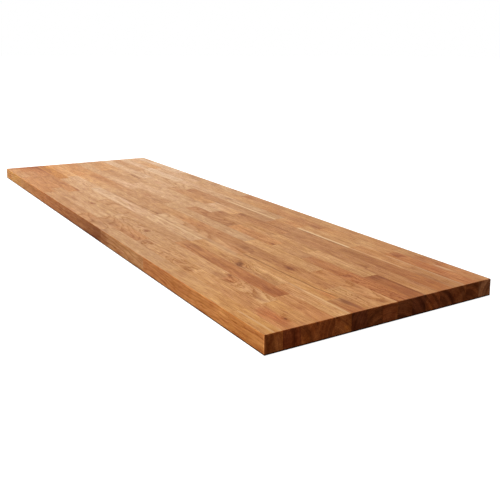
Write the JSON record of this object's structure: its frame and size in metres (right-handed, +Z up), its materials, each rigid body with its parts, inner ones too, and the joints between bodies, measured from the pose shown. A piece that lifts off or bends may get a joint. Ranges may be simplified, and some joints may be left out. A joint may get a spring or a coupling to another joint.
{
  "type": "butcher block countertop",
  "caption": "Flat oiled-oak worktop glued up from rows of short butt-jointed staves, with square ends and lightly eased edges all round.",
  "frame": {"origin": "middle of the underside, where the board rests", "axes": "+X along the length towards the right-hand end, +Y towards the back edge, +Z up"},
  "size_m": [2, 0.62, 0.04],
  "materials": {
    "oak": "oiled oak staves from pale straw to dark red-brown, with pores, knots and flecks"
  },
  "bodies": {
    "root": {"stave_row_01": "oak", "stave_row_02": "oak", "stave_row_03": "oak", "stave_row_04": "oak", "stave_row_05": "oak", "stave_row_06": "oak", "stave_row_07": "oak", "stave_row_08": "oak", "stave_row_09": "oak", "stave_row_10": "oak", "stave_row_11": "oak", "stave_row_12": "oak", "stave_row_13": "oak", "stave_row_14": "oak", "stave_row_15": "oak"}
  },
  "joints": []
}
